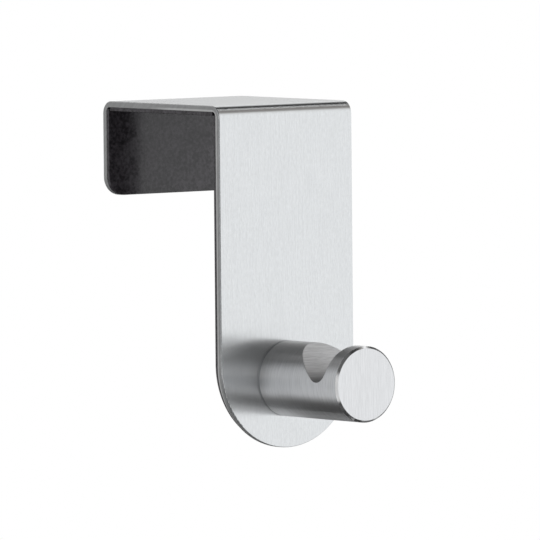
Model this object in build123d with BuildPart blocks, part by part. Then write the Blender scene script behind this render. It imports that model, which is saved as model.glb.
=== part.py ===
"""Over-door towel hook: a folded steel strip, a notched peg and three rubber pads. Millimetres.

X runs along the width of the strip, -Y is the front and +Z is up. The origin lies on the underside of
the top pad, in the middle of the door's top edge.
"""
import os
from math import cos, radians, sin, sqrt, tan

from build123d import *

# The door that the hook hangs on
door_leaf = 40.0
door_play = 0.5

# Sheet strip that the bracket is folded from, with heights from the outside of the top
strip_width = 40.0
sheet = 1.4
plate_height = 81.6
leg_height = 22.6
leg_corner_r = 4.5
bend_inner_r = 1.2
bend_stretch = 0.4  # extra rounding of the outer skin, which thins in a tight bend
edge_round = 0.25

# Rubber lining
pad = 0.95
top_pad_front_gap = 0.25
top_pad_rear_gap = 0.6
front_pad_short = 0.5  # bare steel at the tip of the round end
rear_pad_gap = 0.45  # from the underside of the top down to the rear pad
pad_bend_play = 0.04

# Turned peg, and the spigot that locates it in the plate
peg_diameter = 18.0
peg_length = 29.6
peg_below_round = 3.6  # axis below the centre of the plate's round end
peg_chamfer = 0.5
spigot_diameter = 8.0
spigot_play = 0.05

# Notch across the top of the peg
notch_lip = 4.0  # crest left standing at the end of the peg
notch_floor_rise = 0.6  # floor above the peg's axis
notch_floor_r = 3.0
notch_ramp = 39.0  # degrees, down from the crest towards the end of the peg
notch_lean = 8.0  # degrees, of the lip's wall towards the end of the peg
notch_edge = 0.15

# Places that follow from the sizes
door_gap = door_leaf + door_play
inner_depth = door_gap + 2 * pad
outer_depth = inner_depth + 2 * sheet
top_z = pad + sheet
leg_end_z = top_z - leg_height
round_r = strip_width / 2
round_z = top_z - plate_height + round_r
bend_outer_r = bend_inner_r + sheet + bend_stretch
flat_start_z = pad - bend_inner_r
section_run = 2 * plate_height  # the section's legs before they are cut to length
pad_round_z = round_z + front_pad_short
rear_pad_rise = bend_inner_r - rear_pad_gap  # reach of the rear pad into the bend
rear_pad_bevel = bend_inner_r - sqrt(bend_inner_r**2 - rear_pad_rise**2) + pad_bend_play
peg_r = peg_diameter / 2
peg_z = round_z - peg_below_round

# The peg's seat on the front plate, facing out, and the view of the peg from its left side
peg_seat = Plane(origin=(0, -outer_depth / 2, peg_z), x_dir=(1, 0, 0), z_dir=(0, -1, 0))
peg_side = Plane(origin=peg_seat.origin, x_dir=(0, -1, 0), z_dir=(-1, 0, 0))

tolerance = 1e-4


def borders_skin(edge: Edge) -> bool:
    """Tell whether an edge lies between the bracket's outer skin and its cut edge."""
    middle = edge @ 0.5
    on_flat = abs(abs(middle.Y) - outer_depth / 2) < tolerance or abs(middle.Z - top_z) < tolerance
    on_bend = edge.geom_type == GeomType.CIRCLE and abs(edge.radius - bend_outer_r) < tolerance
    where_bend_starts = abs((edge % 0.5).X) > 1 - tolerance and middle.Z > leg_end_z + tolerance
    return (on_flat or on_bend) and not where_bend_starts


# Bracket: the folded section, cut to the outline of the strip
with BuildPart() as bracket:
    with BuildSketch(Plane.YZ):
        with Locations((0, top_z)):
            RectangleRounded(outer_depth, section_run, bend_outer_r, align=(Align.CENTER, Align.MAX))
        with Locations((0, pad)):
            RectangleRounded(
                inner_depth,
                section_run,
                bend_inner_r,
                align=(Align.CENTER, Align.MAX),
                mode=Mode.SUBTRACT,
            )
        with Locations((outer_depth / 2, leg_end_z)):
            Rectangle(inner_depth, section_run, align=(Align.MAX, Align.MAX), mode=Mode.SUBTRACT)
    extrude(amount=round_r, both=True)

    with BuildSketch(Plane.XZ):
        with Locations((0, round_z)):
            Circle(round_r)
            Rectangle(strip_width, plate_height, align=(Align.CENTER, Align.MIN))
    extrude(amount=outer_depth, both=True, mode=Mode.INTERSECT)

    leg_end = bracket.faces().filter_by(Axis.Z).sort_by(Axis.Y)[-1]
    fillet(leg_end.edges().filter_by(Axis.Y), leg_corner_r)
    fillet(bracket.edges().filter_by(borders_skin), edge_round)

    with Locations(peg_seat):
        Hole(spigot_diameter / 2 + spigot_play, depth=sheet)

# Peg: a bar with chamfered ends, a spigot that fills the plate's hole, and the notch
ramp_angle = radians(notch_ramp)
lean_angle = radians(notch_lean)
lip_start = peg_length - notch_lip
floor_centre_z = notch_floor_rise + notch_floor_r
floor_centre_x = lip_start - (peg_r - floor_centre_z) * tan(lean_angle) - notch_floor_r / cos(lean_angle)
ramp_foot_x = floor_centre_x - notch_floor_r * sin(ramp_angle)
ramp_foot_z = floor_centre_z - notch_floor_r * cos(ramp_angle)
cut_top_z = peg_diameter
ramp_top = (ramp_foot_x - (cut_top_z - ramp_foot_z) / tan(ramp_angle), cut_top_z)
wall_top = (lip_start + (cut_top_z - peg_r) * tan(lean_angle), cut_top_z)

with BuildPart() as peg:
    with BuildSketch(peg_seat):
        Circle(peg_r)
    extrude(amount=peg_length)
    chamfer(peg.edges().filter_by(GeomType.CIRCLE), peg_chamfer)

    with BuildSketch(peg_seat):
        Circle(spigot_diameter / 2)
    extrude(amount=-sheet)

    with BuildSketch(peg_side):
        with BuildLine():
            ramp = Line(ramp_top, (ramp_foot_x, ramp_foot_z))
            floor = JernArc(ramp @ 1, ramp % 1, notch_floor_r, 90 + notch_ramp - notch_lean)
            Polyline(floor @ 1, wall_top, ramp_top)
        make_face()
    extrude(amount=peg_r, both=True, mode=Mode.SUBTRACT)
    fillet(peg.edges(Select.LAST), notch_edge)

# Pads, flush with the edges of the steel. The rear one is bevelled to clear the bend that it reaches into
with BuildPart() as front_pad:
    with BuildSketch(Plane.XZ.offset(door_gap / 2)):
        with Locations((0, pad_round_z)):
            Circle(round_r)
            Rectangle(strip_width, flat_start_z - pad_round_z, align=(Align.CENTER, Align.MIN))
    extrude(amount=pad)

with BuildPart() as top_pad:
    with BuildSketch():
        with Locations((0, -door_gap / 2 + top_pad_front_gap)):
            Rectangle(
                strip_width,
                door_gap - top_pad_front_gap - top_pad_rear_gap,
                align=(Align.CENTER, Align.MIN),
            )
    extrude(amount=pad)

with BuildPart() as rear_pad:
    with BuildSketch(Plane.XZ.offset(-inner_depth / 2)) as leg_outline:
        with Locations((0, leg_end_z)):
            Rectangle(
                strip_width,
                flat_start_z + rear_pad_rise - leg_end_z,
                align=(Align.CENTER, Align.MIN),
            )
        fillet(leg_outline.vertices().group_by(Axis.Y)[0], leg_corner_r)
    extrude(amount=pad)
    steel_side = rear_pad.faces().sort_by(Axis.Y)[-1]
    chamfer(steel_side.edges().sort_by(Axis.Z)[-1], rear_pad_rise, rear_pad_bevel, reference=steel_side)

os.makedirs("parts", exist_ok=True)
bracket.part.label = "bracket"
export_step(bracket.part, "parts/bracket.step")
peg.part.label = "peg"
export_step(peg.part, "parts/peg.step")
front_pad.part.label = "front_pad"
export_step(front_pad.part, "parts/front_pad.step")
top_pad.part.label = "top_pad"
export_step(top_pad.part, "parts/top_pad.step")
rear_pad.part.label = "rear_pad"
export_step(rear_pad.part, "parts/rear_pad.step")
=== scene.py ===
"""Looks of the over-door towel hook: brushed steel, rubber linings and a soft studio, in metres.

X runs along the width of the strip, -Y is the front and +Z is up. The door's top edge meets the origin.
"""
import logging
from dataclasses import dataclass
from enum import Enum
from math import cos, pi, radians, sin

import bmesh
import bpy
from mathutils import Matrix, Vector


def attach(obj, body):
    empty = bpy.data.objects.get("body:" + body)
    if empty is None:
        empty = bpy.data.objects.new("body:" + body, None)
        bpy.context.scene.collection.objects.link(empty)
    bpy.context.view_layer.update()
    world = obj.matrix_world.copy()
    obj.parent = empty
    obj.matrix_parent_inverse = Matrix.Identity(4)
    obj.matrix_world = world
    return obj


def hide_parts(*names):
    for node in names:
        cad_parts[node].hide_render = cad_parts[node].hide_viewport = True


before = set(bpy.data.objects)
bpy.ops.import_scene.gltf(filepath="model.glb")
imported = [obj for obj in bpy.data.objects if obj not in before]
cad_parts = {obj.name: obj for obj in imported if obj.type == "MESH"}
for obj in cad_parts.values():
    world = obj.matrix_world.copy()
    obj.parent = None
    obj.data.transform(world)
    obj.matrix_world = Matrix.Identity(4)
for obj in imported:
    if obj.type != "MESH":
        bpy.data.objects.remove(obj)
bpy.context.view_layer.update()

MM = 0.001
RIGHT_ANGLE = pi / 2
HALF_TURN = 180.0
DEGREES_PER_RADIAN = HALF_TURN / pi

log = logging.getLogger("towel_hook")

Point = tuple[float, float]
Direction = tuple[float, float, float]
Colour = tuple[float, float, float, float]
Socket = bpy.types.NodeSocket
Sockets = bpy.types.bpy_prop_collection
Source = Socket | float


class Wall(Enum):
    """The wall of the bracket that a lining is stuck to."""

    FRONT = "front"
    TOP = "top"
    REAR = "rear"


class SocketKind(Enum):
    """What an input of a node group takes."""

    VALUE = "NodeSocketFloat"
    VECTOR = "NodeSocketVector"


@dataclass
class Wiring:
    """Adds nodes to one node tree and joins them.

    Attributes:
        tree: The node tree that is worked on.
    """

    tree: bpy.types.NodeTree

    def add(self, kind: str, **settings: object) -> bpy.types.Node:
        """Add a node.

        Args:
            kind: The node's type name, without "ShaderNode".
            settings: Values for the node's own properties.

        Returns:
            The new node.
        """
        node = self.tree.nodes.new("ShaderNode" + kind)
        for name, value in settings.items():
            setattr(node, name, value)
        return node

    def feed(self, into: Socket, source: object) -> None:
        """Link an output to an input, or set the input's value.

        Args:
            into: The input socket.
            source: An output socket, or a plain value.
        """
        if isinstance(source, Socket):
            self.tree.links.new(source, into)
        else:
            into.default_value = source

    def math(self, operation: str, *sources: Source) -> Socket:
        """Add a Math node.

        Args:
            operation: Its operation.
            sources: Its inputs, in order.

        Returns:
            Its output.
        """
        node = self.add("Math", operation=operation)
        for socket, source in zip(node.inputs, sources):
            self.feed(socket, source)
        return node.outputs[0]

    def reach(self, first: Socket, second: Socket) -> Socket:
        """Give the length of two sides at a right angle, taken together.

        Args:
            first: The first side.
            second: The second side.

        Returns:
            The length.
        """
        squares = [self.math("MULTIPLY", side, side) for side in (first, second)]
        total = self.math("ADD", *squares)
        return self.math("SQRT", total)

    def span(
        self, value: Source, low: float, high: float, to_low: Source = 0.0, to_high: Source = 1.0
    ) -> Socket:
        """Ease a value from one range to another.

        Args:
            value: The value.
            low: Where the rise starts.
            high: Where it ends.
            to_low: The result at the start.
            to_high: The result at the end.

        Returns:
            The eased value.
        """
        node = self.add("MapRange", interpolation_type="SMOOTHSTEP")
        for socket, source in zip(node.inputs, (value, low, high, to_low, to_high)):
            self.feed(socket, source)
        return node.outputs[0]

    def place(self, x: Source, y: Source, z: Source) -> Socket:
        """Join three values to a vector.

        Args:
            x: First part.
            y: Second part.
            z: Third part.

        Returns:
            The vector.
        """
        node = self.add("CombineXYZ")
        for socket, source in zip(node.inputs, (x, y, z)):
            self.feed(socket, source)
        return node.outputs[0]

    def parts(self, vector: Socket) -> tuple[Socket, ...]:
        """Split a vector.

        Args:
            vector: The vector.

        Returns:
            Its three parts.
        """
        node = self.add("SeparateXYZ")
        self.feed(node.inputs[0], vector)
        return tuple(node.outputs)

    def noise(self, vector: Socket, scale: Source, layers: float, layer_share: float) -> Socket:
        """Add a noise.

        Args:
            vector: Where it is read.
            scale: Its scale.
            layers: Its number of finer layers.
            layer_share: The share of each finer layer.

        Returns:
            The noise, from 0 to 1.
        """
        node = self.add("TexNoise", noise_dimensions="3D")
        self.feed(node.inputs["Vector"], vector)
        self.feed(node.inputs["Scale"], scale)
        node.inputs["Detail"].default_value = layers
        node.inputs["Roughness"].default_value = layer_share
        return node.outputs["Fac"]

    def blend(self, share: Source, low: Source, high: Source) -> Socket:
        """Mix two values.

        Args:
            share: The share of the second, from 0 to 1.
            low: The first value.
            high: The second value.

        Returns:
            The mix.
        """
        node = self.add("Mix", data_type="FLOAT")
        for socket, source in zip((node.inputs[0], node.inputs[2], node.inputs[3]), (share, low, high)):
            self.feed(socket, source)
        return node.outputs[0]

    def tint(self, share: Source, low: object, high: object) -> Socket:
        """Mix two colours.

        Args:
            share: The share of the second, from 0 to 1.
            low: The first colour.
            high: The second colour.

        Returns:
            The mix.
        """
        node = self.add("Mix", data_type="RGBA")
        for socket, source in zip((node.inputs[0], node.inputs[6], node.inputs[7]), (share, low, high)):
            self.feed(socket, source)
        return node.outputs[2]

    def shade(self, colour: Colour, tone: Socket) -> Socket:
        """Make a colour lighter and darker from spot to spot.

        Args:
            colour: The colour.
            tone: Brightness of each spot, 1 for the colour as it is.

        Returns:
            The uneven colour.
        """
        node = self.add("VectorMath", operation="SCALE")
        node.inputs[0].default_value = colour[:3]
        self.feed(node.inputs["Scale"], tone)
        return node.outputs[0]

    def bump(self, depth: float, height: Socket) -> Socket:
        """Make a surface uneven.

        Args:
            depth: Depth of the unevenness, in metres.
            height: Height of each spot, from 0 to 1.

        Returns:
            The uneven normal.
        """
        node = self.add("Bump")
        node.inputs["Distance"].default_value = depth
        node.inputs["Strength"].default_value = 1.0
        self.feed(node.inputs["Height"], height)
        return node.outputs["Normal"]

    def sight(self) -> tuple[Socket, Socket]:
        """Tell the rays that see a thing straight from those that see it by way of another.

        Returns:
            Where the ray is the camera's own, and where it is mirrored or let through.
        """
        ray = self.add("LightPath").outputs
        mirrored = self.math("MAXIMUM", ray["Is Glossy Ray"], ray["Is Transmission Ray"])
        return ray["Is Camera Ray"], mirrored


def new_material(name: str) -> tuple[bpy.types.Material, Wiring, bpy.types.Node]:
    """Start a material.

    Args:
        name: Its name.

    Returns:
        The material, its wiring and its shader.
    """
    material = bpy.data.materials.new(name)
    material.use_nodes = True
    shader = material.node_tree.nodes["Principled BSDF"]
    return material, Wiring(material.node_tree), shader


@dataclass(frozen=True)
class Effect:
    """An effect that is used more than once, kept as one node group.

    Attributes:
        name: The group's name.
    """

    name: str

    def wire(self, tree: bpy.types.NodeTree) -> None:
        """Give an empty group its sockets and nodes."""
        raise NotImplementedError

    @staticmethod
    def ends(
        tree: bpy.types.NodeTree, inputs: dict[str, SocketKind], outputs: tuple[str, ...]
    ) -> tuple[Sockets, Sockets]:
        """Make a group's sockets.

        Args:
            tree: The group.
            inputs: What each input takes, by its name.
            outputs: Names of the outputs, which are all values.

        Returns:
            The sockets that give the inputs, and those that take the outputs.
        """
        for label, kind in inputs.items():
            tree.interface.new_socket(label, in_out="INPUT", socket_type=kind.value)
        for label in outputs:
            tree.interface.new_socket(label, in_out="OUTPUT", socket_type=SocketKind.VALUE.value)
        return tree.nodes.new("NodeGroupInput").outputs, tree.nodes.new("NodeGroupOutput").inputs

    def use(self, w: Wiring, sources: dict[str, Source]) -> bpy.types.Node:
        """Place the effect in a node tree, and build its group on first use.

        Args:
            w: The tree's wiring.
            sources: What feeds each input, by its name.

        Returns:
            The group's node.
        """
        tree = bpy.data.node_groups.get(self.name)
        if tree is None:
            tree = bpy.data.node_groups.new(self.name, "ShaderNodeTree")
            self.wire(tree)
        node = w.add("Group", node_tree=tree)
        for label, source in sources.items():
            w.feed(node.inputs[label], source)
        return node


@dataclass(frozen=True)
class Grain(Effect):
    """Fine parallel lines that a brush or a turning tool leaves in steel.

    Across, Along and Length are in millimetres, and Lines is per millimetre. Streak and Height run from
    0 to 1.

    Attributes:
        name: The group's name.
        layers: Finer layers of the noise.
        layer_share: Share of each finer layer.
        long_stretch: How fast the long lines change along their length, against the short ones.
        long_layer: Layer of the noise that the long lines are read from.
        long_share: Share of the long lines in the streaks.
        dark_at: Noise at which a streak is darkest.
        light_at: Noise at which it is lightest.
    """

    name: str = "brush_grain"
    layers: float = 2.0
    layer_share: float = 0.6
    long_stretch: float = 0.2
    long_layer: float = 7.3
    long_share: float = 0.4
    dark_at: float = 0.3
    light_at: float = 0.7

    def wire(self, tree: bpy.types.NodeTree) -> None:
        """Give an empty group its sockets and nodes.

        Args:
            tree: The group.
        """
        inputs = dict.fromkeys(("Across", "Along", "Lines", "Length"), SocketKind.VALUE)
        given, result = self.ends(tree, inputs, ("Streak", "Height"))
        w = Wiring(tree)
        across = w.math("MULTIPLY", given["Across"], given["Lines"])
        along = w.math("DIVIDE", given["Along"], given["Length"])
        short = w.noise(w.place(across, along, 0.0), 1.0, self.layers, self.layer_share)
        drawn_out = w.math("MULTIPLY", along, self.long_stretch)
        spot = w.place(across, drawn_out, self.long_layer)
        mixed = w.blend(self.long_share, short, w.noise(spot, 1.0, self.layers, self.layer_share))
        w.feed(result["Streak"], w.span(mixed, self.dark_at, self.light_at))
        w.feed(result["Height"], short)


@dataclass(frozen=True)
class Haze(Effect):
    """Slow change of gloss where the piece has been handled and wiped.

    Place is in metres, Spread in millimetres, and Haze runs from 0 to 1.

    Attributes:
        name: The group's name.
        layers: Finer layers of the noise.
        layer_share: Share of each finer layer.
        clear_at: Noise at which there is no haze.
        full_at: Noise at which it is full.
    """

    name: str = "handling_haze"
    layers: float = 3.0
    layer_share: float = 0.55
    clear_at: float = 0.35
    full_at: float = 0.68

    def wire(self, tree: bpy.types.NodeTree) -> None:
        """Give an empty group its sockets and nodes.

        Args:
            tree: The group.
        """
        inputs = {"Place": SocketKind.VECTOR, "Spread": SocketKind.VALUE}
        given, result = self.ends(tree, inputs, ("Haze",))
        w = Wiring(tree)
        scale = w.math("DIVIDE", 1.0 / MM, given["Spread"])
        cloud = w.noise(given["Place"], scale, self.layers, self.layer_share)
        w.feed(result["Haze"], w.span(cloud, self.clear_at, self.full_at))


GRAIN = Grain()
HAZE = Haze()


@dataclass
class Spot:
    """What a steel finish reads at each spot of its piece.

    Attributes:
        across: Distance across the lines, in millimetres.
        along: Distance along the lines, in millimetres.
        dull: Where the metal is sheared or milled, from 0 to 1.
        shine: Where a tool has left it smooth, from 0 to 1.
        shade: Painted shade: brightness of the metal there against the rest, lower where little light
            reaches.
        faced: Where it is faced flat, from 0 to 1.
    """

    across: Socket
    along: Socket
    dull: Socket
    shine: Socket
    shade: Source = 1.0
    faced: Source = 0.0


@dataclass(frozen=True)
class BrushedSteel:
    """Stainless steel with a one-way brushed or turned finish.

    Attributes:
        name: The material's name.
        across: Direction across the lines, for every face of the piece.
        colour: Colour of the metal.
        roughness: Mean roughness.
        anisotropy: How much more the lines scatter across than along.
        streak: Share by which the lines change the colour.
        lines: Lines per millimetre.
        length: Length of a line, in millimetres.
        groove: Depth of the lines, in metres.
        dull_tone: Brightness of the dull places against the rest.
        dull_roughness: Roughness of the dull places.
        dull_streak: Share by which the lines change the colour there.
        shine_roughness: Roughness of the smooth places.
        face_roughness: Roughness of a faced end.
        face_lines: Strength of the lines on a faced end, against the rest.
        haze_spread: Size of the hazy places, in millimetres.
        gloss_swing: How much haze and lines change the roughness.
    """

    name: str
    across: Direction
    colour: Colour
    roughness: float
    anisotropy: float
    streak: float
    lines: float
    length: float
    groove: float
    dull_tone: float
    dull_roughness: float
    dull_streak: float
    shine_roughness: float
    face_roughness: float = 0.22
    face_lines: float = 0.65
    haze_spread: float = 8.0
    gloss_swing: float = 0.01

    def read(self, w: Wiring, place: Socket, normal: Socket) -> Spot:
        """Read the lines' directions and the dull and smooth places."""
        raise NotImplementedError

    def make(self) -> bpy.types.Material:
        """Build the material.

        Returns:
            The material.
        """
        material, w, shader = new_material(self.name)
        coords = w.add("TexCoord").outputs
        spot = self.read(w, coords["Object"], coords["Normal"])
        lines = {"Across": spot.across, "Along": spot.along, "Lines": self.lines, "Length": self.length}
        grain = GRAIN.use(w, lines).outputs
        haze = HAZE.use(w, {"Place": coords["Object"], "Spread": self.haze_spread}).outputs["Haze"]

        share = w.blend(spot.dull, self.streak, self.dull_streak)
        swing = w.math("MULTIPLY_ADD", grain["Streak"], 2.0, -1.0)
        wave = w.math("MULTIPLY", swing, w.blend(spot.faced, 1.0, self.face_lines))
        lined = w.math("MULTIPLY_ADD", wave, share, 1.0)
        tone = w.math("MULTIPLY", lined, w.blend(spot.dull, 1.0, self.dull_tone))
        # The spot's shade multiplies in painted shade, which darkens the peg's notch towards its floor.
        colour = w.shade(self.colour, w.math("MULTIPLY", tone, spot.shade))
        w.feed(shader.inputs["Base Color"], colour)

        gloss = w.blend(spot.dull, self.roughness, self.dull_roughness)
        gloss = w.blend(spot.shine, gloss, self.shine_roughness)
        gloss = w.blend(spot.faced, gloss, self.face_roughness)
        uneven = w.math("SUBTRACT", w.math("ADD", haze, grain["Streak"]), 1.0)
        w.feed(shader.inputs["Roughness"], w.math("MULTIPLY_ADD", uneven, self.gloss_swing, gloss))

        w.feed(shader.inputs["Normal"], w.bump(self.groove, grain["Height"]))
        shader.inputs["Metallic"].default_value = 1.0
        shader.inputs["Anisotropic"].default_value = self.anisotropy
        w.feed(shader.inputs["Tangent"], w.place(*self.across))
        return material


@dataclass(frozen=True)
class StripSteel(BrushedSteel):
    """Brushed strip with sheared edges. Sizes in millimetres.

    Attributes:
        half_depth: From the middle to the outside of a leg.
        top: Height of the outside of the top.
        bend: Radius of the outside of the bends.
        sheet: Thickness of the strip.
        flat_z: Height below which the legs are flat.
        smooth_line: Width of the smooth line on the pad's side of the front leg's edge.
        soft: Half the width over which one place goes over to the next.
        middle_soft: Half the length over which the smooth line fades at the middle of the top.
        cut_low: Turn to the side at which a face starts to count as sheared.
        cut_high: Turn to the side at which it fully counts.
    """

    half_depth: float = 22.6
    top: float = 2.35
    bend: float = 3.0
    sheet: float = 1.4
    flat_z: float = -0.8
    smooth_line: float = 0.45
    soft: float = 0.05
    middle_soft: float = 5.0
    cut_low: float = 0.5
    cut_high: float = 0.95

    def read(self, w: Wiring, place: Socket, normal: Socket) -> Spot:
        """Read the brush's direction and the sheared edge.

        Args:
            w: The material's wiring.
            place: The place on the strip, in metres.
            normal: The direction that the surface faces.

        Returns:
            What is read.
        """
        x, y, z = (w.math("DIVIDE", part, MM) for part in w.parts(place))
        side, front, _ = w.parts(normal)
        to_side = w.math("MULTIPLY", side, side)
        off_front = w.math("SUBTRACT", 1.0, w.math("MULTIPLY", front, front))
        on_leg = w.span(z, self.flat_z - self.soft, self.flat_z + self.soft, 1.0, 0.0)
        cut = w.span(w.blend(on_leg, to_side, off_front), self.cut_low, self.cut_high)

        past_leg = w.math("SUBTRACT", w.math("ABSOLUTE", y), self.half_depth - self.bend)
        past_top = w.math("SUBTRACT", z, self.top - self.bend)
        reach = w.reach(w.math("MAXIMUM", past_leg, 0.0), w.math("MAXIMUM", past_top, 0.0))
        inner = self.bend - self.sheet + self.smooth_line
        pad_side = w.span(reach, inner - self.soft, inner + self.soft, 1.0, 0.0)
        front_half = w.span(y, -self.middle_soft, self.middle_soft, 1.0, 0.0)
        smooth = w.math("MULTIPLY", cut, w.math("MULTIPLY", pad_side, front_half))
        return Spot(x, w.math("ADD", y, z), w.math("SUBTRACT", cut, smooth), smooth)


@dataclass(frozen=True)
class BarSteel(BrushedSteel):
    """Turned bar with a brushed end, a bright chamfer and a milled notch, with painted shade darkening the
    notch towards its floor. Sizes in millimetres.

    Attributes:
        radius: Radius of the bar.
        axis_z: Height of its axis.
        seat_y: Where it meets the plate.
        end_y: Where it ends.
        chamfer: Width of the chamfers.
        floor_rise: Height above the axis of the darkest metal, at the notch's floor.
        clear_rise: Height above the axis from which the notch is bright.
        floor_painted_shade: Brightness of the notch's floor against the rest.
        soft: Width over which the chamfers go over to the round.
        notch_low: Turn outwards below which a face is the notch's.
        notch_high: Turn outwards above which it is the round's.
        sunk_deep: Depth under the round from which metal is the notch's.
        sunk_shallow: Depth under the round up to which it is the round's.
        end_low: Turn to the front at which a face starts to count as the end.
        end_high: Turn to the front at which it fully counts.
    """

    radius: float = 9.0
    axis_z: float = -62.85
    seat_y: float = -22.6
    end_y: float = -52.2
    chamfer: float = 0.5
    # floor_rise: Height above the axis at which the painted shade is darkest, at the notch's floor.         clear_rise: Height above the axis from which the notch has no painted shade.         floor_painted_shade: Brightness of the painted shade at the notch's floor, where little light reaches, against the rest.
    floor_rise: float = 0.4
    clear_rise: float = 3.2
    floor_painted_shade: float = 0.36
    soft: float = 0.1
    notch_low: float = 0.93
    notch_high: float = 0.985
    sunk_deep: float = 0.3
    sunk_shallow: float = 0.15
    end_low: float = 0.85
    end_high: float = 0.97

    def read(self, w: Wiring, place: Socket, normal: Socket) -> Spot:
        """Read the tool's direction, the notch, the chamfer and the painted shade at the notch's floor.

        Args:
            w: The material's wiring.
            place: The place on the bar, in metres.
            normal: The direction that the surface faces.

        Returns:
            What is read.
        """
        x, y, z = (w.math("DIVIDE", part, MM) for part in w.parts(place))
        side, front, up = w.parts(normal)
        rise = w.math("SUBTRACT", z, self.axis_z)
        reach = w.reach(x, rise)
        outward = w.math("ADD", w.math("MULTIPLY", side, x), w.math("MULTIPLY", up, rise))
        turned_in = w.span(w.math("DIVIDE", outward, reach), self.notch_low, self.notch_high, 1.0, 0.0)
        sunk = w.span(reach, self.radius - self.sunk_deep, self.radius - self.sunk_shallow, 1.0, 0.0)

        tip_y = self.end_y + self.chamfer
        foot_y = self.seat_y - self.chamfer
        tip = w.span(y, tip_y, tip_y + self.soft, 1.0, 0.0)
        foot = w.span(y, foot_y - self.soft, foot_y)
        middle = w.math("SUBTRACT", w.math("SUBTRACT", 1.0, tip), foot)
        notch = w.math("MULTIPLY", w.math("MAXIMUM", turned_in, sunk), middle)
        end = w.math("MULTIPLY", tip, w.span(w.math("ABSOLUTE", front), self.end_low, self.end_high))

        around = w.math("MULTIPLY", w.math("ARCTAN2", x, rise), self.radius)
        # Painted shade: the notch is darkened towards its floor, where little light reaches.
        notch_painted_shade = w.span(rise, self.floor_rise, self.clear_rise, self.floor_painted_shade, 1.0)
        return Spot(
            across=w.blend(end, y, x),
            along=w.blend(end, around, z),
            dull=notch,
            shine=w.math("SUBTRACT", tip, end),
            shade=w.blend(notch, 1.0, notch_painted_shade),
            faced=end,
        )


@dataclass(frozen=True)
class SatinRubber:
    """Thin black rubber with a satin skin.

    Attributes:
        name: The material's name.
        colour: Colour of the rubber.
        roughness: Mean roughness.
        ior: Index of refraction of its skin.
        pebble: Depth of the skin's fine unevenness, in metres.
        mottle: Share by which fine specks change the colour.
        speck: Size of the specks, in millimetres.
        speck_layers: Finer layers of the specks.
        speck_share: Share of each finer layer.
        dark_at: Speck at which the colour is darkest.
        light_at: Speck at which it is lightest.
        haze_spread: Size of the hazy places, in millimetres.
        haze_tone: How much the haze shifts the specks.
        gloss_swing: How much the haze changes the roughness.
    """

    name: str
    colour: Colour
    roughness: float
    ior: float
    pebble: float
    mottle: float
    speck: float = 0.8
    speck_layers: float = 2.0
    speck_share: float = 0.6
    dark_at: float = 0.25
    light_at: float = 0.75
    haze_spread: float = 6.0
    haze_tone: float = 0.14
    gloss_swing: float = 0.08

    def make(self) -> bpy.types.Material:
        """Build the material.

        Returns:
            The material.
        """
        material, w, shader = new_material(self.name)
        place = w.add("TexCoord").outputs["Object"]
        haze = HAZE.use(w, {"Place": place, "Spread": self.haze_spread}).outputs["Haze"]
        speck = w.noise(place, 1.0 / (self.speck * MM), self.speck_layers, self.speck_share)

        cloud = w.math("ADD", speck, w.math("MULTIPLY_ADD", haze, self.haze_tone, -self.haze_tone / 2))
        tone = w.span(cloud, self.dark_at, self.light_at, 1.0 - self.mottle, 1.0 + self.mottle)
        w.feed(shader.inputs["Base Color"], w.shade(self.colour, tone))
        gloss = w.math("MULTIPLY_ADD", haze, self.gloss_swing, self.roughness - self.gloss_swing / 2)
        w.feed(shader.inputs["Roughness"], gloss)
        w.feed(shader.inputs["Normal"], w.bump(self.pebble, speck))
        shader.inputs["IOR"].default_value = self.ior
        return material


@dataclass
class SteelPiece:
    """A steel piece, whose CAD solid is dressed and keeps its shape.

    Attributes:
        node: Name of its CAD node.
        finish: Its steel.
    """

    node: str
    finish: BrushedSteel

    def dress(self) -> bpy.types.Object:
        """Give the solid its finish.

        Returns:
            The dressed node.
        """
        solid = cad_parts[self.node]
        solid.material_slots[0].material = self.finish.make()
        return solid


@dataclass
class Bracket(SteelPiece):
    """The folded strip, dressed in brushed steel.

    Attributes:
        node: Name of its CAD node.
        finish: Its steel.
    """

    node: str = "bracket"
    finish: StripSteel = StripSteel(
        name="strip_steel",
        across=(1.0, 0.0, 0.02),
        colour=(0.77, 0.783, 0.79, 1.0),
        roughness=0.25,
        anisotropy=0.9,
        streak=0.055,
        lines=3.2,
        length=1.2,
        groove=0.0003 * MM,
        dull_tone=0.72,
        dull_roughness=0.5,
        dull_streak=0.12,
        shine_roughness=0.4,
    )


@dataclass
class Peg(SteelPiece):
    """The turned and notched bar, dressed in turned steel.

    Attributes:
        node: Name of its CAD node.
        finish: Its steel.
    """

    node: str = "peg"
    finish: BarSteel = BarSteel(
        name="bar_steel",
        across=(0.02, 1.0, 0.0),
        colour=(0.795, 0.8, 0.81, 1.0),
        roughness=0.36,
        anisotropy=1.0,
        streak=0.1,
        lines=4.0,
        length=4.0,
        groove=0.0003 * MM,
        dull_tone=1.1,
        dull_roughness=0.42,
        dull_streak=0.16,
        shine_roughness=0.1,
    )


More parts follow.
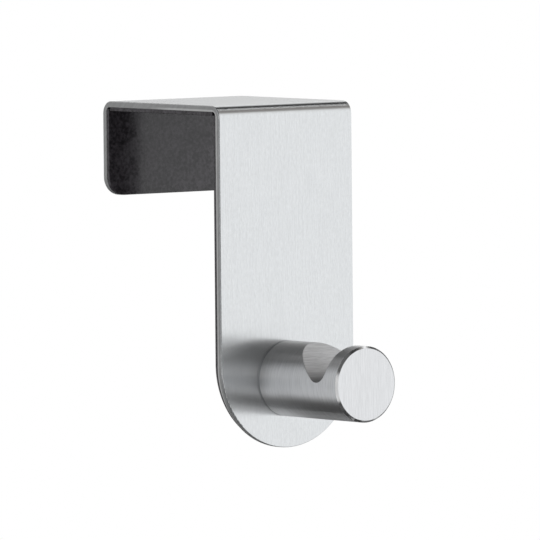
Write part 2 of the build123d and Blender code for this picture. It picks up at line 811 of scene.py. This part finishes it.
@dataclass
class Lining:
    """One die-cut rubber lining with a softened rim on the door's side. Sizes in millimetres.

    Attributes:
        wall: The wall that it is stuck to.
        outline: Corners of its outline, counter-clockwise.
        steel_face: Place of its stuck face along the wall's normal.
        thickness: Its thickness.
        bevel_rise: Height of the bevel that clears the bend.
        bevel_depth: Depth of that bevel.
        rim: Radius of the softened rim.
        rim_steps: Faces across the rim.
        sharp_angle: Angle from which an edge stays sharp, in degrees.
    """

    wall: Wall
    outline: list[Point]
    steel_face: float
    thickness: float
    bevel_rise: float = 0.0
    bevel_depth: float = 0.0
    rim: float = 0.2
    rim_steps: int = 4
    sharp_angle: float = 35.0

    def put(self, point: Point, depth: float) -> Vector:
        """Place a point of the outline in the frame.

        Args:
            point: The point on the outline.
            depth: Its distance from the stuck face, towards the door.

        Returns:
            The place, in metres.
        """
        if self.wall is Wall.FRONT:
            return Vector((point[0], self.steel_face + depth, point[1])) * MM
        if self.wall is Wall.REAR:
            return Vector((point[0], self.steel_face - depth, point[1])) * MM
        return Vector((point[0], point[1], self.steel_face - depth)) * MM

    def inset(self, amount: float) -> list[Point]:
        """Move the outline inwards.

        Args:
            amount: The distance.

        Returns:
            The smaller outline.
        """
        moved = []
        count = len(self.outline)
        for i, here in enumerate(self.outline):
            before = Vector(here) - Vector(self.outline[i - 1])
            after = Vector(self.outline[(i + 1) % count]) - Vector(here)
            first = Vector((-before.y, before.x)).normalized()
            second = Vector((-after.y, after.x)).normalized()
            spot = Vector(here) + (first + second) * (amount / (1.0 + first.dot(second)))
            moved.append((spot.x, spot.y))
        return moved

    def loops(self) -> list[list[Vector]]:
        """Lay out the rings of points from the stuck face to the door's face.

        Returns:
            The rings.
        """
        top = max(p[1] for p in self.outline)
        lowered = [(p[0], min(p[1], top - self.bevel_rise)) for p in self.outline]
        rings = [[self.put(p, 0.0) for p in lowered]]
        if self.bevel_depth:
            rings.append([self.put(p, self.bevel_depth) for p in self.outline])
        for step in range(self.rim_steps + 1):
            turn = step / self.rim_steps * RIGHT_ANGLE
            depth = self.thickness - self.rim * (1.0 - sin(turn))
            rings.append([self.put(p, depth) for p in self.inset(self.rim * (1.0 - cos(turn)))])
        return rings

    def build(self) -> bpy.types.Object:
        """Build the mesh and stand it in for its CAD solid.

        Returns:
            The lining.
        """
        name = f"{self.wall.value}_lining"
        skin = bmesh.new()
        rings = [[skin.verts.new(p) for p in ring] for ring in self.loops()]
        for lower, upper in zip(rings, rings[1:]):
            for i in range(len(lower)):
                skin.faces.new((lower[i - 1], lower[i], upper[i], upper[i - 1]))
        skin.faces.new(rings[0])
        skin.faces.new(rings[-1])
        bmesh.ops.recalc_face_normals(skin, faces=skin.faces)
        mesh = bpy.data.meshes.new(name)
        skin.to_mesh(mesh)
        skin.free()
        mesh.shade_smooth()
        mesh.set_sharp_from_angle(angle=radians(self.sharp_angle))
        piece = bpy.data.objects.new(name, mesh)
        bpy.context.scene.collection.objects.link(piece)
        piece.modifiers.new("flat_faces", "WEIGHTED_NORMAL").keep_sharp = True
        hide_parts(f"{self.wall.value}_pad")
        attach(piece, "root")
        return piece


def arc(centre: Point, radius: float, start: float, end: float, steps: int) -> list[Point]:
    """Lay the points of a number of chords on an arc, whose angles are in degrees."""
    turns = (radians(start + (end - start) * i / steps) for i in range(steps + 1))
    return [(centre[0] + radius * cos(t), centre[1] + radius * sin(t)) for t in turns]


@dataclass
class Linings:
    """The three rubber linings that keep the steel off the door. Sizes in millimetres.

    Attributes:
        half_width: Half the strip's width.
        half_gap: Half the gap between the front and rear linings.
        thickness: Thickness of the rubber.
        front_top: Upper edge of the front lining.
        front_round_z: Height of the middle of its round end.
        round_steps: Chords of the round end.
        top_front: Front edge of the top lining.
        top_rear: Rear edge of the top lining.
        rear_top: Upper edge of the rear lining.
        rear_bottom: Lower edge of the rear lining.
        rear_corner: Radius of its lower corners.
        corner_steps: Chords of a corner.
        bevel_rise: Height of its bevel, which clears the bend.
        bevel_depth: Depth of that bevel.
        finish: The rubber.
    """

    half_width: float = 20.0
    half_gap: float = 20.25
    thickness: float = 0.95
    front_top: float = -0.25
    front_round_z: float = -58.75
    round_steps: int = 72
    top_front: float = -20.0
    top_rear: float = 19.65
    rear_top: float = 0.5
    rear_bottom: float = -20.25
    rear_corner: float = 4.5
    corner_steps: int = 14
    bevel_rise: float = 0.75
    bevel_depth: float = 0.31
    finish: SatinRubber = SatinRubber(
        name="lining_rubber",
        colour=(0.066, 0.06, 0.068, 1.0),
        roughness=0.11,
        ior=1.56,
        pebble=0.001 * MM,
        mottle=0.62,
    )

    def shapes(self) -> list[Lining]:
        """Give the three linings.

        Returns:
            The linings, not built yet.
        """
        half, corner = self.half_width, self.rear_corner
        corner_z = self.rear_bottom + corner
        stuck = self.half_gap + self.thickness
        front = arc((0.0, self.front_round_z), half, 180.0, 360.0, self.round_steps)
        front += [(half, self.front_top), (-half, self.front_top)]
        top = [(-half, self.top_front), (half, self.top_front), (half, self.top_rear), (-half, self.top_rear)]
        rear = arc((-half + corner, corner_z), corner, 180.0, 270.0, self.corner_steps)
        rear += arc((half - corner, corner_z), corner, 270.0, 360.0, self.corner_steps)
        rear += [(half, self.rear_top), (-half, self.rear_top)]
        return [
            Lining(Wall.FRONT, front, -stuck, self.thickness),
            Lining(Wall.TOP, top, self.thickness, self.thickness),
            Lining(Wall.REAR, rear, stuck, self.thickness, self.bevel_rise, self.bevel_depth),
        ]

    def build(self) -> list[bpy.types.Object]:
        """Build and dress the linings.

        Returns:
            The pieces.
        """
        rubber = self.finish.make()
        pieces = [shape.build() for shape in self.shapes()]
        for piece in pieces:
            piece.data.materials.append(rubber)
        return pieces


@dataclass(frozen=True)
class CardShape(Effect):
    """Outline of one soft card of the studio, seen from the hook.

    All inputs are angles in degrees, and Mask runs from 0 to 1.

    Attributes:
        name: The group's name.
    """

    name: str = "soft_card"

    def wire(self, tree: bpy.types.NodeTree) -> None:
        """Give an empty group its sockets and nodes.

        Args:
            tree: The group.
        """
        places = ("Turn", "Rise", "Azimuth", "Elevation")
        sizes = ("Half Width", "Half Height", "Soft Width", "Soft Height")
        given, result = self.ends(tree, dict.fromkeys(places + sizes, SocketKind.VALUE), ("Mask",))
        w = Wiring(tree)
        turned = w.math("SUBTRACT", given["Turn"], given["Azimuth"])
        aside = w.math("WRAP", turned, HALF_TURN, -HALF_TURN)
        above = w.math("SUBTRACT", given["Rise"], given["Elevation"])
        shares = []
        for offset, side in ((aside, "Width"), (above, "Height")):
            past = w.math("SUBTRACT", w.math("ABSOLUTE", offset), given[f"Half {side}"])
            shares.append(w.span(w.math("DIVIDE", past, given[f"Soft {side}"]), -1.0, 1.0, 1.0, 0.0))
        w.feed(result["Mask"], w.math("MULTIPLY", *shares))


CARD_SHAPE = CardShape()


@dataclass(frozen=True)
class SoftCard:
    """One soft card of the studio. Angles are in degrees, azimuth from the back, clockwise from above.

    Attributes:
        name: What it is.
        level: Its brightness.
        azimuth: Where its middle stands.
        elevation: How high its middle is.
        half_width: Half its width.
        half_height: Half its height.
        soft_width: Half the width of its soft side edges.
        soft_height: Half the height of its soft upper and lower edges.
        warmth: Share by which it is redder and less blue than grey.
    """

    name: str
    level: float
    azimuth: float
    elevation: float
    half_width: float
    half_height: float
    soft_width: float
    soft_height: float
    warmth: float = 0.0

    def colour(self) -> Colour:
        """Give the card's light."""
        return (self.level * (1.0 + self.warmth), self.level, self.level * (1.0 - self.warmth), 1.0)

    def mask(self, w: Wiring, turn: Socket, rise: Socket) -> Socket:
        """Give the card's share of each direction.

        Args:
            w: The world's wiring.
            turn: The direction's azimuth, in degrees.
            rise: Its elevation, in degrees.

        Returns:
            The share, from 0 to 1.
        """
        node = CARD_SHAPE.use(w, {
            "Turn": turn,
            "Rise": rise,
            "Azimuth": self.azimuth,
            "Elevation": self.elevation,
            "Half Width": self.half_width,
            "Half Height": self.half_height,
            "Soft Width": self.soft_width,
            "Soft Height": self.soft_height,
        })
        node.label = self.name
        return node.outputs["Mask"]


STUDIO_CARDS = (
    SoftCard(
        "high_back", level=0.45, azimuth=-24, elevation=58,
        half_width=75, half_height=8, soft_width=12, soft_height=4,
    ),
    SoftCard(
        "high_front", level=0.13, azimuth=-140, elevation=44,
        half_width=45, half_height=27, soft_width=12, soft_height=6,
    ),
    SoftCard(
        "low_front", level=0.1, azimuth=180, elevation=-52,
        half_width=60, half_height=8, soft_width=15, soft_height=4,
    ),
    SoftCard(
        "left_fill", level=0.35, azimuth=-140, elevation=-30,
        half_width=22, half_height=8, soft_width=8, soft_height=4,
    ),
    SoftCard(
        "front_fill", level=0.8, azimuth=179, elevation=-19,
        half_width=17, half_height=11, soft_width=8, soft_height=4,
    ),
    SoftCard(
        "back_wall", level=0.69, warmth=0.01, azimuth=-20, elevation=9,
        half_width=21, half_height=38, soft_width=20, soft_height=5,
    ),
    SoftCard(
        "right_wall", level=0.75, azimuth=87, elevation=-22,
        half_width=41, half_height=27, soft_width=15, soft_height=15,
    ),
    SoftCard(
        "camera_wall", level=0.22, warmth=0.05, azimuth=-131, elevation=9,
        half_width=42, half_height=6.5, soft_width=8, soft_height=5,
    ),
    SoftCard(
        "ceiling", level=0.3, warmth=0.05, azimuth=130, elevation=46,
        half_width=28, half_height=16, soft_width=19, soft_height=4,
    ),
    SoftCard(
        "ceiling_card", level=0.97, azimuth=135, elevation=21,
        half_width=23, half_height=13, soft_width=15, soft_height=6,
    ),
    SoftCard(
        "bend_strip", level=1.6, azimuth=98, elevation=56,
        half_width=4, half_height=16, soft_width=2.5, soft_height=6,
    ),
    SoftCard(
        "left_card", level=1.22, warmth=-0.03, azimuth=-80, elevation=0,
        half_width=20, half_height=38, soft_width=16, soft_height=15,
    ),
    SoftCard(
        "front_card", level=1.03, warmth=-0.01, azimuth=127, elevation=-13,
        half_width=47, half_height=39, soft_width=14, soft_height=8,
    ),
    SoftCard(
        "side_strip", level=0.95, azimuth=-129.5, elevation=-8,
        half_width=3.5, half_height=32, soft_width=1.5, soft_height=8,
    ),
    SoftCard(
        "low_strip", level=0.55, warmth=0.03, azimuth=-168, elevation=-26,
        half_width=22, half_height=4.5, soft_width=5, soft_height=3,
    ),
    SoftCard(
        "right_flag", level=0.1, azimuth=58, elevation=-6,
        half_width=11, half_height=26, soft_width=3, soft_height=5,
    ),
    SoftCard(
        "low_flag", level=0.15, azimuth=80, elevation=-46,
        half_width=22, half_height=12, soft_width=5, soft_height=5,
    ),
)
BACKDROP = SoftCard(
    "backdrop", level=1.0, azimuth=42, elevation=23.7,
    half_width=14, half_height=19, soft_width=6, soft_height=3,
)


@dataclass
class Studio:
    """White studio of soft cards round the hanging hook, with a pale floor.

    Attributes:
        cards: The cards, each laid over those before it.
        backdrop: The white backdrop behind the hook, which steel shows too.
        dim: Level where there is no card.
        floor_z: Height of the floor, in metres.
        floor_half: Half the floor's side, in metres.
        floor_colour: Colour of the floor.
        floor_roughness: Roughness of the floor.
        lens: Focal length of the camera, in millimetres.
        sensor: Width of its sensor, in millimetres.
        clip: Nearest and farthest distance that it sees, in metres.
        eye: Its place, in metres.
        right: The direction to the right of its picture.
        up: The direction to the top of its picture.
    """

    cards: tuple[SoftCard, ...] = STUDIO_CARDS
    backdrop: SoftCard = BACKDROP
    dim: float = 0.05
    floor_z: float = -0.9
    floor_half: float = 0.2
    floor_colour: Colour = (0.85, 0.85, 0.85, 1.0)
    floor_roughness: float = 0.7
    lens: float = 645.74
    sensor: float = 36.0
    clip: tuple[float, float] = (0.1, 100.0)
    eye: Direction = (-1.42009, -1.81977, 0.10025)
    right: Direction = (0.785334, -0.619005, -0.009147)
    up: Direction = (0.044229, 0.041365, 0.998165)

    def light(self) -> None:
        """Build the world that lights the hook and shows white behind it, in steel and rubber too."""
        world = bpy.data.worlds.new("studio")
        bpy.context.scene.world = world
        world.use_nodes = True
        w = Wiring(world.node_tree)
        x, y, z = w.parts(w.add("TexCoord").outputs["Generated"])
        turn = w.math("MULTIPLY", w.math("ARCTAN2", x, y), DEGREES_PER_RADIAN)
        rise = w.math("MULTIPLY", w.math("ARCSINE", z), DEGREES_PER_RADIAN)
        light = (self.dim, self.dim, self.dim, 1.0)
        for card in self.cards:
            light = w.tint(card.mask(w, turn, rise), light, card.colour())
        straight, mirrored = w.sight()
        behind = w.math("MULTIPLY", mirrored, self.backdrop.mask(w, turn, rise))
        light = w.tint(w.math("MAXIMUM", straight, behind), light, self.backdrop.colour())
        w.feed(world.node_tree.nodes["Background"].inputs["Color"], light)

    def floor(self) -> bpy.types.Object:
        """Lay the pale floor far below the hanging hook.

        Returns:
            The floor.
        """
        half = self.floor_half
        mesh = bpy.data.meshes.new("floor")
        corners = [(-half, -half, 0), (half, -half, 0), (half, half, 0), (-half, half, 0)]
        mesh.from_pydata(corners, [], [(0, 1, 2, 3)])
        plane = bpy.data.objects.new("floor", mesh)
        plane.location.z = self.floor_z
        bpy.context.scene.collection.objects.link(plane)
        material, w, shader = new_material("pale_floor")
        shader.inputs["Base Color"].default_value = self.floor_colour
        shader.inputs["Roughness"].default_value = self.floor_roughness
        white = w.add("Emission")
        mix = w.add("MixShader")
        w.feed(mix.inputs[0], w.math("MAXIMUM", *w.sight()))
        w.feed(mix.inputs[1], shader.outputs[0])
        w.feed(mix.inputs[2], white.outputs[0])
        w.feed(material.node_tree.nodes["Material Output"].inputs["Surface"], mix.outputs[0])
        mesh.materials.append(material)
        return plane

    def camera(self) -> bpy.types.Object:
        """Set the camera at the viewing angle of the photo.

        Returns:
            The camera.
        """
        data = bpy.data.cameras.new("camera")
        data.sensor_width = self.sensor
        data.lens = self.lens
        data.clip_start, data.clip_end = self.clip
        eye = bpy.data.objects.new("camera", data)
        right, up = Vector(self.right), Vector(self.up)
        turn = Matrix((right, up, right.cross(up))).transposed()
        eye.matrix_world = Matrix.Translation(self.eye) @ turn.to_4x4()
        bpy.context.scene.collection.objects.link(eye)
        bpy.context.scene.camera = eye
        return eye

    def build(self) -> None:
        """Set up light, floor and camera."""
        self.light()
        self.floor()
        self.camera()
        bpy.context.scene.view_settings.view_transform = "Standard"


def main() -> None:
    """Build the hook's pieces in order and set up the studio."""
    logging.basicConfig(level=logging.INFO, format="%(name)s: %(message)s")
    pieces = [Bracket().dress(), Peg().dress(), *Linings().build()]
    for piece in pieces:
        log.info("%s: %d faces", piece.name, len(piece.data.polygons))
    Studio().build()


if __name__ == "__main__":
    main()
